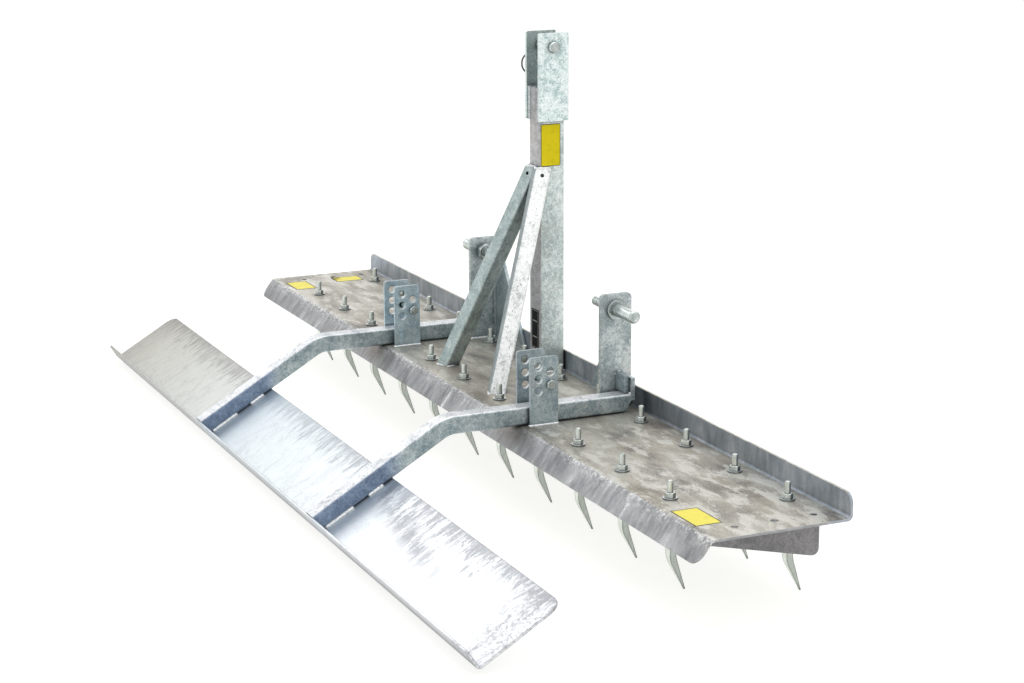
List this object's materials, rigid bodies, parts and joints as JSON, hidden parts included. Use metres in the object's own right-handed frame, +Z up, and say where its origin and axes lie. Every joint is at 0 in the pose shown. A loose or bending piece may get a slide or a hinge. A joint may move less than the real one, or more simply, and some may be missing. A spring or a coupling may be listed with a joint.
{
  "type": "arena leveller",
  "caption": "Three-point arena leveller: folded deck with two rows of curved tines, headstock, and a levelling blade on two hinged arms.",
  "frame": {"origin": "on the ground, at the centre of the machine's box", "axes": "+X to the machine's right, +Y forward to the tractor, +Z up"},
  "size_m": [2.5, 0.7764, 0.979],
  "materials": {
    "deck_sheet": "hot-dip galvanised, mottled and weathered",
    "deflector_sheet": "hot-dip galvanised, dull grey",
    "blade_sheet": "hot-dip galvanised, bright with grey streaks",
    "arm_tube": "hot-dip galvanised, fine spangle",
    "mast_tube": "hot-dip galvanised, coarse spangle",
    "brace_tube": "hot-dip galvanised",
    "bracket_plate": "hot-dip galvanised plate",
    "tine_steel": "bright zinc plated, satin",
    "small_fasteners": "bright zinc plated",
    "hitch_pins": "zinc plated, turned",
    "linch_steel": "zinc plated",
    "name_plate": "blank dark plate with a light border"
  },
  "bodies": {
    "machine": {"brace_left": "brace_tube", "brace_right": "brace_tube", "clevis_plate_left": "mast_tube", "clevis_plate_right": "mast_tube", "cross_plate_left": "bracket_plate", "cross_plate_right": "bracket_plate", "deflector_plate_left": "deflector_sheet", "deflector_plate_right": "deflector_sheet", "guide_plate_left_inner": "bracket_plate", "guide_plate_left_outer": "bracket_plate", "guide_plate_right_inner": "bracket_plate", "guide_plate_right_outer": "bracket_plate", "link_gusset_left": "bracket_plate", "link_gusset_right": "bracket_plate", "link_plate_left": "bracket_plate", "link_plate_right": "bracket_plate", "lower_pin_left": "hitch_pins", "lower_pin_nuts": "hitch_pins", "lower_pin_right": "hitch_pins", "mast": "mast_tube", "name_plate": "name_plate", "stop_bolt_left": "small_fasteners", "stop_bolt_right": "small_fasteners", "stop_nuts": "small_fasteners", "tine_deck": "deck_sheet", "tine_front_01": "tine_steel", "tine_front_02": "tine_steel", "tine_front_03": "tine_steel", "tine_front_04": "tine_steel", "tine_front_05": "tine_steel", "tine_front_06": "tine_steel", "tine_front_07": "tine_steel", "tine_front_08": "tine_steel", "tine_front_09": "tine_steel", "tine_front_10": "tine_steel", "tine_front_11": "tine_steel", "tine_front_12": "tine_steel", "tine_nuts": "small_fasteners", "tine_rear_01": "tine_steel", "tine_rear_02": "tine_steel", "tine_rear_03": "tine_steel", "tine_rear_04": "tine_steel", "tine_rear_05": "tine_steel", "tine_rear_06": "tine_steel", "tine_rear_07": "tine_steel", "tine_rear_08": "tine_steel", "tine_rear_09": "tine_steel", "tine_rear_10": "tine_steel", "tine_rear_11": "tine_steel", "tine_washers": "small_fasteners"},
    "leveller": {"arm_right": "arm_tube", "arm_left": "arm_tube", "arm_hook_right": "arm_tube", "arm_hook_left": "arm_tube", "blade": "blade_sheet"},
    "top_link_pin": {"top_link_pin": "hitch_pins", "linch_pin": "linch_steel"},
    "linch_ring": {"linch_ring": "linch_steel"}
  },
  "joints": [
    {"name": "leveller_lift", "type": "hinge", "parent": "machine", "child": "leveller", "pos_m": [0, 0.34017, 0.1883], "axis": [-1, 0, 0], "range_deg": [0, 12.2]},
    {"name": "top_link_pin_turn", "type": "hinge", "parent": "machine", "child": "top_link_pin", "pos_m": [0, 0.34817, 0.947], "axis": [1, 0, 0], "continuous": true},
    {"name": "linch_ring_flip", "type": "hinge", "parent": "top_link_pin", "child": "linch_ring", "pos_m": [-0.05, 0.34257, 0.92749], "axis": [0, 0.9613, -0.2756], "range_deg": [0, 95]}
  ]
}
